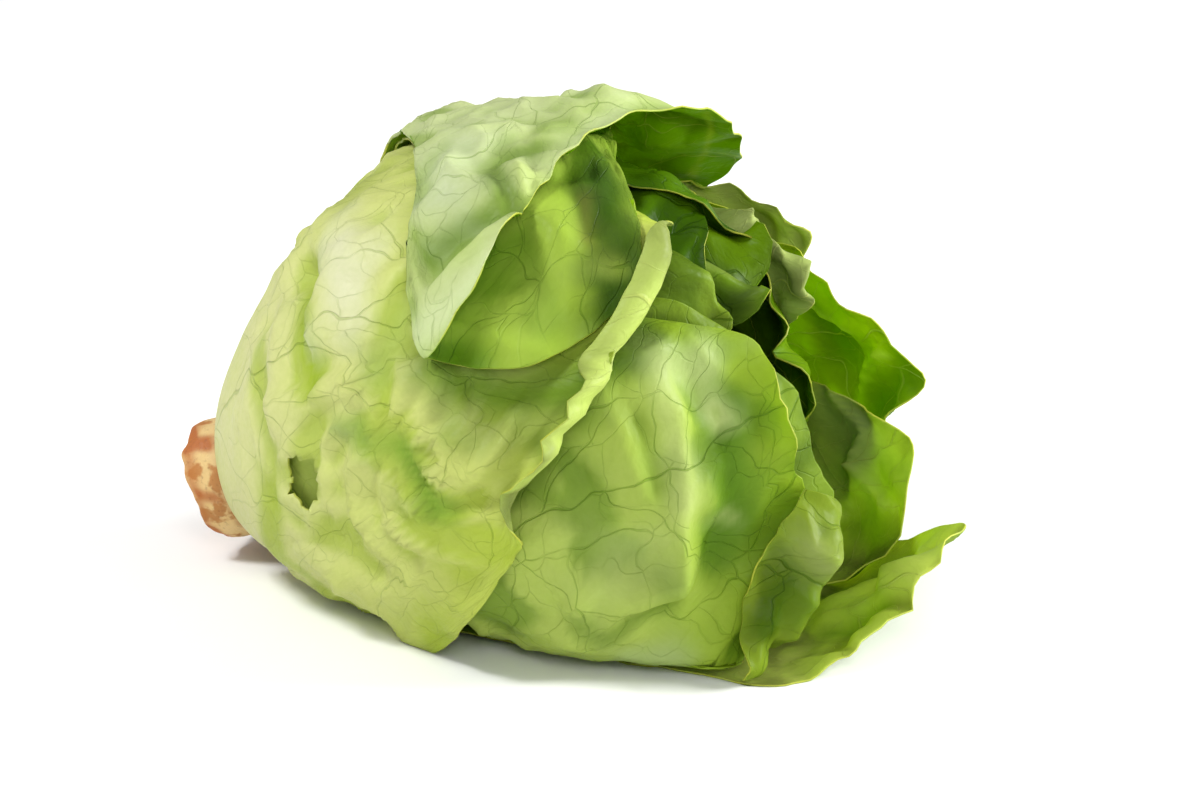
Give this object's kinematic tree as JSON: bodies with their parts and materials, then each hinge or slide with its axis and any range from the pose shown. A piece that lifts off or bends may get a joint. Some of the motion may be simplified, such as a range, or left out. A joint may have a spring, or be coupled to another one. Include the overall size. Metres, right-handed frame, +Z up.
{
  "type": "butterhead lettuce",
  "caption": "Butterhead lettuce lying on its side, with soft overlapping wrapper leaves round a curled heart and a short cut stem.",
  "frame": {"origin": "centre of the footprint box, on the surface the head lies on", "axes": "+X from the cut stem to the open crown, along the head's length, +Y to the back, +Z up"},
  "size_m": [0.2088, 0.16, 0.1341],
  "materials": {
    "cut_stem": "dry cut plant stem, cream with brown scars",
    "pale_leaf": "satin, waxy, pale yellow-green leaf with fine veins",
    "green_leaf": "satin, waxy, fresh green leaf with fine veins",
    "deep_leaf": "satin, waxy, deep green leaf with pale veins",
    "heart_leaf": "satin, waxy, curled inner leaf"
  },
  "bodies": {
    "root": {"stem": "cut_stem", "heart": "heart_leaf", "leaf_far_right": "deep_leaf", "leaf_right": "deep_leaf", "leaf_front_right": "green_leaf", "leaf_low_right": "deep_leaf", "leaf_back_top": "green_leaf", "leaf_back_low": "pale_leaf", "leaf_bottom": "deep_leaf", "leaf_back": "pale_leaf", "leaf_front": "pale_leaf", "leaf_middle": "green_leaf", "leaf_top": "green_leaf"}
  },
  "joints": []
}
